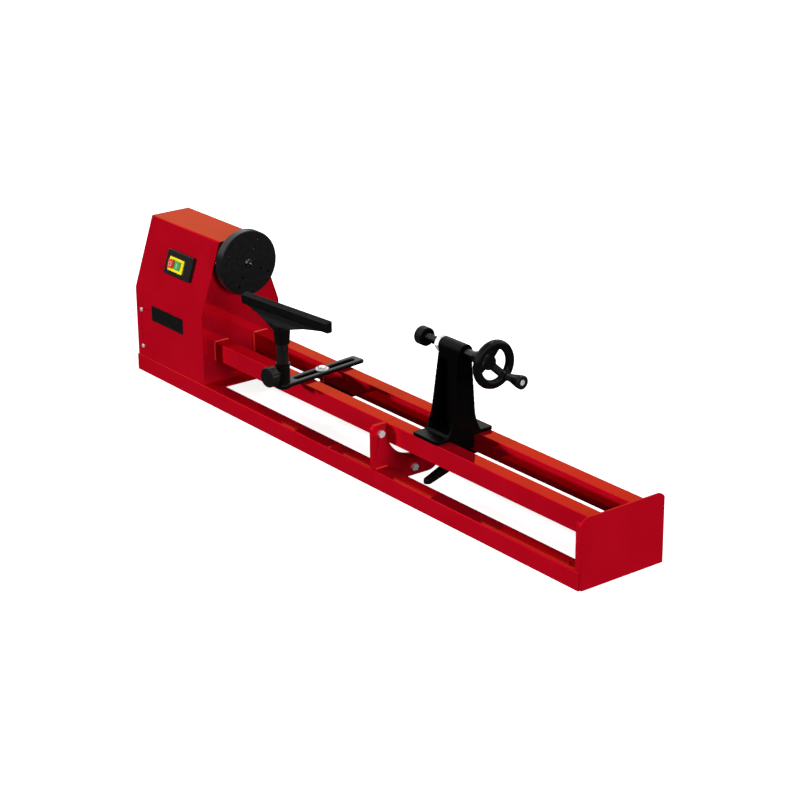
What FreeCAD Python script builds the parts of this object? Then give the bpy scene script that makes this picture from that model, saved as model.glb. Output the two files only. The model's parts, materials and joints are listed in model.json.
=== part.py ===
import FreeCAD, Part
import math
import os

# Wood turning lathe on a two-part steel base.  Millimetres.
# Origin: bench level, under the joint where the two halves of the base are bolted
# together.  +X runs from the headstock to the end plate, -Y is the operator's
# side, +Z is up.

os.makedirs("parts", exist_ok=True)
V = FreeCAD.Vector
X_AXIS = V(1, 0, 0)
Y_AXIS = V(0, 1, 0)
Z_AXIS = V(0, 0, 1)

# ---- driving dimensions ----------------------------------------------------
LENGTH = 1400.0
LEFT = -825.0               # left end of the base
RIGHT = LEFT + LENGTH
BASE_HALF = 97.5            # half the width over the two base rails
RAIL_HEIGHT = 35.0
RAIL_FLANGE = 33.0
SHEET = 3.0                 # base rails, floor and end plate
BED_TOP = 121.5
TUBE_HEIGHT = 38.0
TUBE_OUTER = 64.0           # bed tube side faces, measured from the centre line
TUBE_INNER = 32.5
TUBE_WALL = 2.0
JOINT_X = 0.0               # where the left and right halves are bolted together
PLATE = 4.0                 # thickness of one joint plate
SPINDLE_Z = 286.0
RUN_FIT = 0.1               # radial clearance of a shaft that turns or slides

# headstock
HOOD_HALF = 94.5
HOOD_KINK_Z = 183.0
HOOD_TOP_HALF = 45.5
HOOD_TOP_Z = 330.5
HOOD_SHEET = 2.0
HOOD_RIGHT = LEFT + 255.0
PANEL_FACE = LEFT + 252.5   # outer face of the end panel behind the faceplate
MOTOR_Z = 178.0
FACE_R = 67.3
FACE_FRONT = LEFT + 291.0

# tool rest, drawn about its clamp bolt and turned by REST_ANGLE
REST_X = -287.0
REST_ANGLE = 6.5
POST_REACH = 101.5
BAR_ANGLE = -1.5            # how far the rest is turned in its socket
POST_R = 11.5
REST_TOP = 284.5

# tailstock, drawn about its clamp bolt
TAIL_X = 119.5
TAIL_FRONT = -35.0
TAIL_BACK = 34.5
BARREL_START = -24.0
BARREL_END = 38.0
BARREL_R = 15.7
SCREW_R = 8.0
WHEEL_X = 114.0
WHEEL_R = 45.4
CRANK_ANGLE = math.radians(-47)
GRIP_X = 124.0


# ---- helpers ---------------------------------------------------------------
def box(x0, x1, y0, y1, z0, z1):
    """Box between two corners."""
    return Part.makeBox(x1 - x0, y1 - y0, z1 - z0, V(x0, y0, z0))


def rod_x(x0, x1, radius, y=0.0, z=SPINDLE_Z):
    """Cylinder along X."""
    return Part.makeCylinder(radius, x1 - x0, V(x0, y, z), X_AXIS)


def rod_z(z0, z1, radius, x=0.0, y=0.0):
    """Cylinder along Z."""
    return Part.makeCylinder(radius, z1 - z0, V(x, y, z0), Z_AXIS)


def rod_between(start, end, radius):
    """Cylinder from one point to another."""
    return Part.makeCylinder(radius, (end - start).Length, start, end - start)


def prism(points, sweep):
    """Extrude the closed polygon through these points."""
    wire = Part.makePolygon(points + [points[0]])
    return Part.Face(wire).extrude(sweep)


def prism_yz(outline, x0, x1):
    """Extrude a (y, z) outline along X."""
    return prism([V(x0, y, z) for y, z in outline], V(x1 - x0, 0, 0))


def prism_xz(outline, y0, y1):
    """Extrude an (x, z) outline along Y."""
    return prism([V(x, y0, z) for x, z in outline], V(0, y1 - y0, 0))


def turned_x(profile, y=0.0, z=SPINDLE_Z):
    """Turn an (x, radius) profile about an axis along X."""
    points = [V(x, y, z + radius) for x, radius in profile]
    face = Part.Face(Part.makePolygon(points + [points[0]]))
    return face.revolve(V(0, y, z), X_AXIS, 360)


def hexagon_x(x0, x1, flats, y, z):
    """Hexagonal prism along X, given its size across the flats."""
    radius = flats / math.sqrt(3)
    outline = [(y + radius * math.cos(math.radians(60 * k)),
                z + radius * math.sin(math.radians(60 * k))) for k in range(6)]
    return prism_yz(outline, x0, x1)


def hexagon_z(z0, z1, flats, x, y):
    """Hexagonal prism along Z, given its size across the flats."""
    radius = flats / math.sqrt(3)
    points = [V(x + radius * math.cos(math.radians(60 * k)),
                y + radius * math.sin(math.radians(60 * k)), z0) for k in range(6)]
    return prism(points, V(0, 0, z1 - z0))


def round_along(shape, direction, radius, keep=None):
    """Round the straight edges that run along a direction; keep picks them by centre."""
    chosen = []
    for edge in shape.Edges:
        if not isinstance(edge.Curve, Part.Line):
            continue
        run = edge.tangentAt(edge.FirstParameter)
        if abs(abs(run.dot(direction)) - 1) > 1e-6:
            continue
        if keep is None or keep(edge.CenterOfMass):
            chosen.append(edge)
    return shape.makeFillet(radius, chosen)


def folded_sheet(line, thickness):
    """Closed outline of a sheet folded along a polyline; the sheet lies on its right side."""
    def inward(a, b):
        length = math.hypot(b[0] - a[0], b[1] - a[1])
        return ((b[1] - a[1]) / length, -(b[0] - a[0]) / length)

    inner = []
    for k, point in enumerate(line):
        before = inward(line[max(k - 1, 0)], line[max(k - 1, 0) + 1])
        after = inward(line[min(k, len(line) - 2)], line[min(k, len(line) - 2) + 1])
        scale = thickness / (1 + before[0] * after[0] + before[1] * after[1])
        inner.append((point[0] + scale * (before[0] + after[0]),
                      point[1] + scale * (before[1] + after[1])))
    return line + inner[::-1]


def fused(shapes):
    """Join shapes into one solid and merge their coplanar faces."""
    joined = shapes[0].multiFuse(shapes[1:])
    return joined.removeSplitter()


def group(shapes):
    """Separate identical solids kept in one node."""
    return Part.makeCompound(shapes)


def save(node, shape):
    """Write one sub-part."""
    shape.exportStep("parts/" + node + ".step")


# ---- base ------------------------------------------------------------------
MOUNT_HOLE_X = RIGHT - 40
MOUNT_HOLE_Y = 81.0
MOUNT_HOLE_R = 3.5


def base_rail(side, x0, x1):
    """Rail of folded sheet: an outer leg with a flange on top that points inward."""
    outer = side * BASE_HALF
    inner = side * (BASE_HALF - RAIL_FLANGE)
    line = [(outer, 0.0), (outer, RAIL_HEIGHT), (inner, RAIL_HEIGHT)]
    if side > 0:
        line = line[::-1]
    rail = prism_yz(folded_sheet(line, SHEET), x0, x1)
    return round_along(rail, X_AXIS, 2.5,
                       lambda c: abs(c.y - outer) < 0.1 and abs(c.z - RAIL_HEIGHT) < 0.1)


def right_rail(side):
    """Right-hand rail with its bolt-down hole and the embossed ring round the hole."""
    y = side * MOUNT_HOLE_Y
    ring = rod_z(RAIL_HEIGHT - 1, RAIL_HEIGHT + 1, 8, MOUNT_HOLE_X, y)
    hole = rod_z(0, RAIL_HEIGHT + 5, MOUNT_HOLE_R, MOUNT_HOLE_X, y)
    rail = fused([base_rail(side, JOINT_X, RIGHT - SHEET), ring])
    return rail.cut(hole)


def headstock_floor():
    """Sheet between the rail flanges under the headstock, folded down at its left end."""
    inner = BASE_HALF - RAIL_FLANGE - 0.1
    top = box(LEFT, LEFT + 285, -inner, inner, RAIL_HEIGHT - SHEET, RAIL_HEIGHT)
    lip_half = BASE_HALF - SHEET - 0.1
    lip = box(LEFT, LEFT + SHEET, -lip_half, lip_half, 0, RAIL_HEIGHT - SHEET)
    return fused([top, lip])


def bed_tube(side, x0, x1):
    """Rectangular bed tube with rounded corners."""
    low, high = sorted((side * TUBE_INNER, side * TUBE_OUTER))
    bottom = BED_TOP - TUBE_HEIGHT
    tube = round_along(box(x0, x1, low, high, bottom, BED_TOP), X_AXIS, 1.5)
    bore = box(x0, x1, low + TUBE_WALL, high - TUBE_WALL,
               bottom + TUBE_WALL, BED_TOP - TUBE_WALL)
    return tube.cut(bore)


JOINT_BOLTS = [(-78.0, 103.0), (78.0, 103.0), (0.0, 17.0)]


def joint_plate(x0, x1):
    """Yoke across the base: two ears outside the tubes and a bowl hanging below them."""
    notch_floor = BED_TOP - TUBE_HEIGHT - 0.1
    ears = box(x0, x1, -BASE_HALF, BASE_HALF, RAIL_HEIGHT, 121)
    ears = ears.makeChamfer(7, [e for e in ears.Edges
                                if abs(e.CenterOfMass.z - 121) < 0.1
                                and abs(abs(e.CenterOfMass.y) - BASE_HALF) < 0.1])
    bowl = round_along(box(x0, x1, -62, 62, 0, RAIL_HEIGHT + 5), X_AXIS, 28,
                       lambda c: c.z < 5)
    yoke = fused([ears, bowl])
    yoke = yoke.cut(box(x0, x1, -TUBE_OUTER - 0.2, TUBE_OUTER + 0.2, notch_floor, 130))
    yoke = yoke.cut(rod_x(x0, x1, 65, 0, 110))
    for y, z in JOINT_BOLTS:
        yoke = yoke.cut(rod_x(x0, x1, 4.2, y, z))
    return yoke


def joint_bolts():
    """Hexagon bolts that clamp the two joint plates together."""
    bolts = []
    for y, z in JOINT_BOLTS:
        head = hexagon_x(JOINT_X + PLATE, JOINT_X + PLATE + 5.5, 13, y, z)
        shank = rod_x(JOINT_X - PLATE - 9, JOINT_X + PLATE, 4, y, z)
        bolts.append(fused([head, shank]))
    return group(bolts)


def joint_nuts():
    """Nuts on the far side of the joint plates."""
    nuts = []
    for y, z in JOINT_BOLTS:
        nut = hexagon_x(JOINT_X - PLATE - 6.5, JOINT_X - PLATE, 13, y, z)
        nuts.append(nut.cut(rod_x(JOINT_X - 20, JOINT_X, 4, y, z)))
    return group(nuts)


def end_plate():
    """Upright plate at the tail end, its sides folded back above the rails."""
    half = BASE_HALF - 1.0
    height = 132.0
    fold = 13.0
    block = round_along(box(RIGHT - fold, RIGHT, -half, half, 0, height), Z_AXIS, 4,
                        lambda c: c.x > RIGHT - 1)
    tray = block.cut(box(RIGHT - fold, RIGHT - SHEET, SHEET - half, half - SHEET, 0, height))
    outline = box(RIGHT - fold, RIGHT, -half, half, 0, height)
    outline = round_along(outline, X_AXIS, 18, lambda c: c.z > height - 1)
    outline = round_along(outline, X_AXIS, 5, lambda c: c.z < 1)
    tray = tray.common(outline)
    return tray.cut(box(RIGHT - fold, RIGHT - SHEET, -half, half, 0, RAIL_HEIGHT + 1))


# ---- headstock shell -------------------------------------------------------
HOOD_LINE = [(-HOOD_HALF, RAIL_HEIGHT), (-HOOD_HALF, HOOD_KINK_Z),
             (-HOOD_TOP_HALF, HOOD_TOP_Z), (HOOD_TOP_HALF, HOOD_TOP_Z),
             (HOOD_HALF, HOOD_KINK_Z), (HOOD_HALF, RAIL_HEIGHT)]
HOOD_SCREWS = [(LEFT + 21, 138.0), (LEFT + 21, 57.0)]
PANEL_SCREWS = [(-52.4, 287.0), (52.4, 287.0)]
FLANGE_BOLT_R = 34.0
GLAND = (LEFT + 60, 70.0)

# The switch sits on the sloping front panel.  Its local frame has x along X,
# y up the slope and z out of the panel.
SLOPE = math.atan2(HOOD_TOP_Z - HOOD_KINK_Z, HOOD_HALF - HOOD_TOP_HALF)
SWITCH_X = LEFT + 142.8
SWITCH_UP = 79.4
PLATE_X = -6.4              # centre of the yellow plate from the middle of the box
PLATE_UP = -1.7
BUTTONS = {"stop_button": (-19.0, 6.0), "start_button": (1.2, 3.0)}
BUTTON_W = 18.0
BUTTON_H = 17.5
BOX_PROUD = 6.0


def on_slope(shape):
    """Move a shape from the switch's local frame onto the sloping panel."""
    turn = FreeCAD.Rotation(X_AXIS, math.degrees(SLOPE))
    up = V(0, math.cos(SLOPE), math.sin(SLOPE)) * SWITCH_UP
    place = V(SWITCH_X, -HOOD_HALF, HOOD_KINK_Z) + up
    moved = shape.copy()
    moved.Placement = FreeCAD.Placement(place, turn)
    return moved


def headstock_hood():
    """Hood folded over the motor and spindle, with two tabs for the end panel screws."""
    hood = prism_yz(folded_sheet(HOOD_LINE, HOOD_SHEET), LEFT, HOOD_RIGHT)
    corners = [p for p in HOOD_LINE if p[1] > RAIL_HEIGHT]
    hood = round_along(hood, X_AXIS, 3,
                       lambda c: any(math.hypot(c.y - y, c.z - z) < 0.1 for y, z in corners))
    tab_face = PANEL_FACE - HOOD_SHEET
    for y, z in PANEL_SCREWS:
        side = math.copysign(1, y)
        tab = box(tab_face - 2, tab_face, min(side * 46, side * 59.5), max(side * 46, side * 59.5),
                  z - 7, z + 7)
        tab = tab.common(prism_yz(HOOD_LINE, LEFT, HOOD_RIGHT))
        hood = hood.fuse(tab).cut(rod_x(tab_face - 3, tab_face + 1, 2, y, z))
    for x, z in HOOD_SCREWS:
        hood = hood.cut(Part.makeCylinder(2.2, 250, V(x, -125, z), Y_AXIS))
    hood = hood.cut(Part.makeCylinder(8, 20, V(GLAND[0], 85, GLAND[1]), Y_AXIS))
    return hood.cut(on_slope(box(-42, 42, -19, 19, -6, 6)))


def hood_inside(x0, x1, gap):
    """Solid that fills the hood's inside between two stations."""
    inner = HOOD_SHEET + gap
    outline = folded_sheet(HOOD_LINE, inner)[len(HOOD_LINE):]
    return prism_yz(outline, x0, x1)


def end_panel():
    """Inset panel behind the faceplate; the bed tubes and the spindle pass through it."""
    panel = hood_inside(PANEL_FACE - HOOD_SHEET, PANEL_FACE, 0.1)
    bottom = BED_TOP - TUBE_HEIGHT
    for side in (-1, 1):
        low, high = sorted((side * TUBE_INNER, side * TUBE_OUTER))
        panel = panel.cut(box(PANEL_FACE - 5, PANEL_FACE + 5, low - 0.2, high + 0.2,
                              bottom - 0.2, BED_TOP + 0.2))
    panel = panel.cut(rod_x(PANEL_FACE - 5, PANEL_FACE + 5, 22))
    for y, z in PANEL_SCREWS:
        panel = panel.cut(rod_x(PANEL_FACE - 5, PANEL_FACE + 5, 2.2, y, z))
    for y, z in flange_bolt_points():
        panel = panel.cut(rod_x(PANEL_FACE - 5, PANEL_FACE + 5, 3.2, y, z))
    return panel


def belt_cover():
    """Cover over the pulleys at the left end, with side flanges for the hood screws."""
    cover = hood_inside(LEFT + 0.5, LEFT + 2.5, 0.1)
    side_y = HOOD_HALF - HOOD_SHEET
    for side in (-1, 1):
        low, high = sorted((side * (side_y - 2.0), side * (side_y - 0.1)))
        cover = cover.fuse(box(LEFT + 2.5, LEFT + 38, low, high, 42, 165))
    for x, z in HOOD_SCREWS:
        cover = cover.cut(Part.makeCylinder(2, 250, V(x, -125, z), Y_AXIS))
    return cover.removeSplitter()


def pan_screw(shank, seat, out):
    """Pan head screw with a cross recess; its head stands out from a seat."""
    head = rod_z(0, 2.4, 4.2)
    head = head.makeFillet(1.4, [e for e in head.Edges if e.CenterOfMass.z > 2.3])
    head = head.cut(box(-2.2, 2.2, -0.5, 0.5, 1.2, 3))
    head = head.cut(box(-0.5, 0.5, -2.2, 2.2, 1.2, 3))
    screw = fused([head, rod_z(-shank, 0, 2)])
    screw.Placement = FreeCAD.Placement(seat, FreeCAD.Rotation(Z_AXIS, out))
    return screw


def hood_screws():
    """Screws that hold the belt cover through the hood's front and back."""
    return group([pan_screw(9, V(x, side * HOOD_HALF, z), V(0, side, 0))
                  for side in (-1, 1) for x, z in HOOD_SCREWS])


def end_panel_screws():
    """Screws high on the end panel."""
    return group([pan_screw(8, V(PANEL_FACE, y, z), X_AXIS) for y, z in PANEL_SCREWS])


def cable_gland():
    """Gland for the mains lead low on the back of the headstock."""
    x, z = GLAND
    flange = Part.makeCylinder(12, 3, V(x, HOOD_HALF, z), Y_AXIS)
    neck = Part.makeCone(9.5, 7, 14, V(x, HOOD_HALF + 3, z), Y_AXIS)
    stem = Part.makeCylinder(7.9, 14, V(x, HOOD_HALF - 14, z), Y_AXIS)
    nut = Part.makeCylinder(11.5, 4, V(x, HOOD_HALF - HOOD_SHEET - 4, z), Y_AXIS)
    bore = Part.makeCylinder(4, 40, V(x, HOOD_HALF - 15, z), Y_AXIS)
    return fused([flange, neck, stem, nut]).cut(bore)


def name_plate():
    """Blank plate on the front of the headstock."""
    plate = box(LEFT + 62, LEFT + 181, -HOOD_HALF - 0.8, -HOOD_HALF, 124, 157)
    return round_along(plate, Y_AXIS, 1.5)


# ---- switch ----------------------------------------------------------------
def rounded_block(width, height, z0, z1, corner, x=0.0, y=0.0):
    """Block in the switch's local frame with rounded corners."""
    block = box(x - width / 2, x + width / 2, y - height / 2, y + height / 2, z0, z1)
    return round_along(block, Z_AXIS, corner)


def button_wells(margin, z0, z1):
    """The two button shapes grown by a margin."""
    wells = [rounded_block(BUTTON_W + 2 * margin, BUTTON_H + 2 * margin, z0, z1, 2,
                           x, PLATE_UP) for x, proud in BUTTONS.values()]
    return wells[0].fuse(wells[1])


def switch_box():
    """Black switch housing: a frame on the panel and a body behind it."""
    frame = rounded_block(95, 52, 0, BOX_PROUD, 4)
    frame = frame.makeFillet(1.5, [e for e in frame.Edges
                                   if abs(e.CenterOfMass.z - BOX_PROUD) < 0.01])
    body = rounded_block(82, 36, -26, 0, 3)
    return on_slope(fused([frame, body]).cut(button_wells(0.4, -8, BOX_PROUD + 1)))


def switch_plate():
    """Yellow plate round the buttons."""
    plate = rounded_block(52, 29, BOX_PROUD, BOX_PROUD + 2, 2, PLATE_X, PLATE_UP)
    return on_slope(plate.cut(button_wells(0.4, BOX_PROUD - 1, BOX_PROUD + 3)))


def switch_button(name):
    """Push button standing proud of the yellow plate."""
    x, proud = BUTTONS[name]
    top = BOX_PROUD + 2 + proud
    button = rounded_block(BUTTON_W, BUTTON_H, -4, top, 2, x, PLATE_UP)
    button = button.makeFillet(1, [e for e in button.Edges
                                   if abs(e.CenterOfMass.z - top) < 0.01])
    return on_slope(button)


# ---- drive train -----------------------------------------------------------
STEP_PITCH = 9.5
PULLEY_X = LEFT + 16
SPINDLE_STEPS = [33.0, 29.0, 25.0, 21.0]
MOTOR_STEPS = [18.0, 22.0, 26.0, 30.0]
BELT_STEP = 1
CAN_X0 = LEFT + 68
CAN_X1 = LEFT + 195
CAN_R = 52.0


def flange_bolt_points():
    """Centres of the four bolts that hold the bearing housing to the end panel."""
    return [(FLANGE_BOLT_R * math.cos(math.radians(45 + 90 * k)),
             SPINDLE_Z + FLANGE_BOLT_R * math.sin(math.radians(45 + 90 * k)))
            for k in range(4)]


def motor_bolt_points():
    """Centres of the four bolts that hold the motor to its bracket."""
    return [(40 * math.cos(math.radians(45 + 90 * k)),
             MOTOR_Z + 40 * math.sin(math.radians(45 + 90 * k))) for k in range(4)]


def stepped_pulley(steps, bore, z):
    """Pulley with one flat belt groove for each speed and a hub at its right end."""
    profile = [(PULLEY_X, bore)]
    for k, radius in enumerate(steps):
        x = PULLEY_X + k * STEP_PITCH
        profile += [(x, radius + 2), (x + 1.2, radius + 2), (x + 1.2, radius - 3),
                    (x + STEP_PITCH - 1.2, radius - 3), (x + STEP_PITCH - 1.2, radius + 2),
                    (x + STEP_PITCH, radius + 2)]
    end = PULLEY_X + len(steps) * STEP_PITCH
    profile += [(end, bore + 6), (end + 6, bore + 6), (end + 6, bore)]
    return turned_x(profile, 0, z)


def belt_outline(offset):
    """Outline round both pulleys at a distance from the belt's pitch line."""
    upper = SPINDLE_STEPS[BELT_STEP] + offset
    lower = MOTOR_STEPS[BELT_STEP] + offset
    tilt = math.asin((upper - lower) / (SPINDLE_Z - MOTOR_Z))
    cos_t, sin_t = math.cos(tilt), math.sin(tilt)
    x = PULLEY_X + BELT_STEP * STEP_PITCH + 1.7
    top_right = V(x, upper * cos_t, SPINDLE_Z + upper * sin_t)
    top_left = V(x, -upper * cos_t, SPINDLE_Z + upper * sin_t)
    low_right = V(x, lower * cos_t, MOTOR_Z + lower * sin_t)
    low_left = V(x, -lower * cos_t, MOTOR_Z + lower * sin_t)
    top = Part.Arc(top_right, V(x, 0, SPINDLE_Z + upper), top_left).toShape()
    low = Part.Arc(low_left, V(x, 0, MOTOR_Z - lower), low_right).toShape()
    wire = Part.Wire([top, Part.makeLine(top_left, low_left), low,
                      Part.makeLine(low_right, top_right)])
    return Part.Face(wire)


def drive_belt():
    """Endless belt, drawn just clear of the groove walls."""
    width = V(STEP_PITCH - 3.4, 0, 0)
    return belt_outline(1.2).extrude(width).cut(belt_outline(-2.6).extrude(width))


def bearing_housing():
    """Cast housing bolted inside the end panel; it carries the two spindle bearings."""
    back = PANEL_FACE - HOOD_SHEET
    flange = rod_x(back - 8, back, 42)
    tube = rod_x(back - 125, back - 8, 27)
    housing = fused([flange, tube]).cut(rod_x(back - 130, back + 1, 16))
    housing = housing.cut(rod_x(back - 12, back + 1, 21))
    housing = housing.cut(rod_x(back - 126, back - 113, 21))
    for y, z in flange_bolt_points():
        housing = housing.cut(rod_x(back - 9, back + 1, 3, y, z))
    return housing


def spindle_bearing(x0):
    """Ball bearing of the spindle, as one ring."""
    return rod_x(x0, x0 + 12, 21).cut(rod_x(x0 - 1, x0 + 13, 10 + RUN_FIT))


def housing_bolts():
    """Button head bolts through the end panel into the bearing housing."""
    bolts = []
    for y, z in flange_bolt_points():
        head = rod_x(PANEL_FACE, PANEL_FACE + 3, 5.5, y, z)
        bolts.append(fused([head, rod_x(PANEL_FACE - 10, PANEL_FACE, 3, y, z)]))
    return group(bolts)


def spindle_shaft():
    """Spindle with a shoulder and a threaded nose for the faceplate."""
    nose_end = FACE_FRONT - 3
    return turned_x([(LEFT + 10, 0), (LEFT + 10, 9), (LEFT + 11, 10), (PANEL_FACE - 0.6, 10),
                     (PANEL_FACE - 0.6, 17), (FACE_FRONT - 21, 17), (FACE_FRONT - 21, 9),
                     (nose_end - 1, 9), (nose_end, 8), (nose_end, 0)])


FACE_HOLES = [(32.0, 4), (52.0, 4)]
FACE_HOLE_R = 2.6
FACE_HOLE_TURN = 62.0


def faceplate():
    """Cast faceplate: disc, deep rim and hub, drilled for wood screws."""
    back = FACE_FRONT - 20
    profile = [(FACE_FRONT, 9), (FACE_FRONT, FACE_R - 1.5), (FACE_FRONT - 1.5, FACE_R),
               (back + 1, FACE_R), (back, FACE_R - 1), (back, FACE_R - 7),
               (FACE_FRONT - 8, FACE_R - 9), (FACE_FRONT - 8, 22), (back - 1, 20), (back - 1, 9)]
    plate = turned_x(profile)
    for circle, count in FACE_HOLES:
        for k in range(count):
            turn = math.radians(FACE_HOLE_TURN + 360 / count * k)
            plate = plate.cut(rod_x(back - 2, FACE_FRONT + 1, FACE_HOLE_R,
                                    circle * math.cos(turn), SPINDLE_Z + circle * math.sin(turn)))
    return plate


def drive_centre():
    """Spur centre in the middle of the faceplate: a point and four driving teeth."""
    foot = FACE_FRONT - 3
    body = turned_x([(foot, 0), (foot, 8.9), (FACE_FRONT, 8.9), (FACE_FRONT + 4, 7),
                     (FACE_FRONT + 4, 2.6), (FACE_FRONT + 6, 2.6), (FACE_FRONT + 11, 0)])
    teeth = []
    for k in range(4):
        tooth = prism([V(FACE_FRONT + 3, -1, SPINDLE_Z + 3.5), V(FACE_FRONT + 3, -1, SPINDLE_Z + 7),
                       V(FACE_FRONT + 7, -1, SPINDLE_Z + 6)], V(0, 2, 0))
        tooth.rotate(V(0, 0, SPINDLE_Z), X_AXIS, 45 + 90 * k)
        teeth.append(tooth)
    return fused([body] + teeth)


def motor_bracket():
    """Angle bracket welded to the bed tubes; the motor is bolted to its upright."""
    upright = box(CAN_X0 - 4, CAN_X0, -64, 64, BED_TOP, MOTOR_Z + 58)
    foot = box(CAN_X0, CAN_X0 + 50, -64, 64, BED_TOP, BED_TOP + 4)
    bracket = fused([upright, foot]).cut(rod_x(CAN_X0 - 5, CAN_X0 + 1, 18, 0, MOTOR_Z))
    for y, z in motor_bolt_points():
        bracket = bracket.cut(rod_x(CAN_X0 - 5, CAN_X0 + 1, 2.7, y, z))
    return bracket


def motor_bolts():
    """Bolts through the bracket into the motor's front cap."""
    bolts = []
    for y, z in motor_bolt_points():
        head = hexagon_x(CAN_X0 - 8, CAN_X0 - 4, 8, y, z)
        bolts.append(fused([head, rod_x(CAN_X0 - 4, CAN_X0 + 5, 2.5, y, z)]))
    return group(bolts)


def motor_can():
    """Motor shell with both end caps; cooling holes in the rear one."""
    can = rod_x(CAN_X0, CAN_X1, CAN_R, 0, MOTOR_Z)
    can = can.cut(rod_x(CAN_X0 + 6, CAN_X1 - 6, CAN_R - 4, 0, MOTOR_Z))
    can = can.cut(rod_x(CAN_X0 - 1, CAN_X1 + 1, 7 + RUN_FIT, 0, MOTOR_Z))
    for y, z in motor_bolt_points():
        can = can.cut(rod_x(CAN_X0 - 1, CAN_X0 + 7, 2.5, y, z))
    for k in range(8):
        turn = math.radians(45 * k)
        can = can.cut(rod_x(CAN_X1 - 7, CAN_X1 + 1, 5,
                            32 * math.cos(turn), MOTOR_Z + 32 * math.sin(turn)))
    return can


def motor_stator():
    """Laminated stator inside the can."""
    ring = rod_x(CAN_X0 + 22, CAN_X0 + 98, CAN_R - 4, 0, MOTOR_Z)
    return ring.cut(rod_x(CAN_X0 + 21, CAN_X0 + 99, 31.5, 0, MOTOR_Z))


def motor_rotor():
    """Rotor core on the motor shaft."""
    core = rod_x(CAN_X0 + 22, CAN_X0 + 98, 31, 0, MOTOR_Z)
    return core.cut(rod_x(CAN_X0 + 21, CAN_X0 + 99, 7, 0, MOTOR_Z))


# ---- tool rest -------------------------------------------------------------
BANJO_BOTTOM = BED_TOP + 0.1
BANJO_TOP = BANJO_BOTTOM + 7.0
SOCKET_TOP = 163.0
KNOB_Z = 148.0


def in_rest(shape):
    """Move a shape from the tool rest's own frame (bolt at the origin) into place."""
    moved = shape.copy()
    moved.rotate(V(0, 0, 0), Z_AXIS, REST_ANGLE)
    moved.translate(V(REST_X, 0, 0))
    return moved


def rest_clamp_plate():
    """Plate with a welded nut under the bed tubes; the clamp bolt pulls it up."""
    top = BED_TOP - TUBE_HEIGHT - 0.1
    plate = round_along(box(REST_X - 49, REST_X + 49, -52, 52, top - 7, top), Z_AXIS, 6)
    nut = hexagon_z(top - 15, top - 7, 17, REST_X, 0)
    return fused([plate, nut]).cut(rod_z(top - 16, top + 1, 5, REST_X, 0))


def rest_clamp_bolt():
    """Clamp bolt through the slotted arm."""
    head = rod_z(BANJO_TOP + 2.6, BANJO_TOP + 6.5, 8, REST_X, 0)
    head = head.makeFillet(2, [e for e in head.Edges if e.CenterOfMass.z > BANJO_TOP + 6])
    return fused([head, rod_z(60, BANJO_TOP + 2.6, 5, REST_X, 0)])


def rest_washer():
    """Large washer between the bolt head and the arm; the arm swings with it."""
    ring = rod_z(BANJO_TOP + 0.1, BANJO_TOP + 2.5, 13, REST_X, 0)
    return ring.cut(rod_z(100, 150, 5 + RUN_FIT, REST_X, 0))


def banjo_arm():
    """Slotted arm that lies across the bed, with the socket for the post at its front."""
    half = 17.0
    back = 99.0
    slot_front, slot_back, slot_half = -72.0, 84.0, 5.6
    arm = box(-half, half, -POST_REACH, back, BANJO_BOTTOM, BANJO_TOP)
    arm = round_along(arm, Z_AXIS, 6, lambda c: c.y > 0)
    slot = fused([box(-slot_half, slot_half, slot_front + slot_half, slot_back - slot_half,
                      BANJO_BOTTOM - 1, BANJO_TOP + 1),
                  rod_z(BANJO_BOTTOM - 1, BANJO_TOP + 1, slot_half, 0, slot_front + slot_half),
                  rod_z(BANJO_BOTTOM - 1, BANJO_TOP + 1, slot_half, 0, slot_back - slot_half)])
    arm = arm.cut(slot)
    arm = arm.makeFillet(2.4, [e for e in arm.Edges if abs(e.CenterOfMass.z - BANJO_TOP) < 0.01
                               and e.CenterOfMass.y > -POST_REACH + 1])
    socket = rod_z(118, SOCKET_TOP, 13.8, 0, -POST_REACH)
    foot = rod_z(118, 127, 16, 0, -POST_REACH)
    foot = foot.makeFillet(3, foot.Edges)
    boss = rod_between(V(0, -POST_REACH, KNOB_Z), V(0, -POST_REACH - 18, KNOB_Z), 8)
    arm = fused([arm, socket, foot, boss])
    arm = arm.cut(rod_z(110, 200, POST_R + RUN_FIT, 0, -POST_REACH))
    arm = arm.cut(rod_between(V(0, -POST_REACH, KNOB_Z), V(0, -POST_REACH - 30, KNOB_Z),
                              4 + RUN_FIT))
    return in_rest(arm)


def lock_knob():
    """Lobed knob with its screw; the tip of the screw stops just short of the post."""
    face = -POST_REACH - 41
    grip = Part.makeCylinder(20, 16, V(0, face, KNOB_Z), Y_AXIS)
    grip = grip.makeFillet(3, [e for e in grip.Edges if abs(e.CenterOfMass.y - face) < 0.1])
    for k in range(8):
        turn = math.radians(22.5 + 45 * k)
        grip = grip.cut(Part.makeCylinder(5, 20, V(24 * math.cos(turn), face - 2,
                                                   KNOB_Z + 24 * math.sin(turn)), Y_AXIS))
    neck = Part.makeCylinder(9, 5, V(0, face + 16, KNOB_Z), Y_AXIS)
    tip = V(0, -POST_REACH - POST_R - 0.4, KNOB_Z)
    screw = rod_between(tip, V(0, face + 8, KNOB_Z), 4)
    return in_rest(fused([grip, neck, screw]))


def post_collar():
    """Stop ring that sets the height of the post above the socket."""
    ring = rod_z(SOCKET_TOP + 0.1, SOCKET_TOP + 5.6, 14.2, 0, -POST_REACH)
    return in_rest(ring.cut(rod_z(SOCKET_TOP - 1, SOCKET_TOP + 8, POST_R + RUN_FIT,
                                  0, -POST_REACH)))


HUB_BOTTOM = 208.0
POST_TOP = 234.0


def rest_post():
    """Round post of the tool rest."""
    return in_rest(rod_z(122, POST_TOP, POST_R, 0, -POST_REACH))


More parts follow.
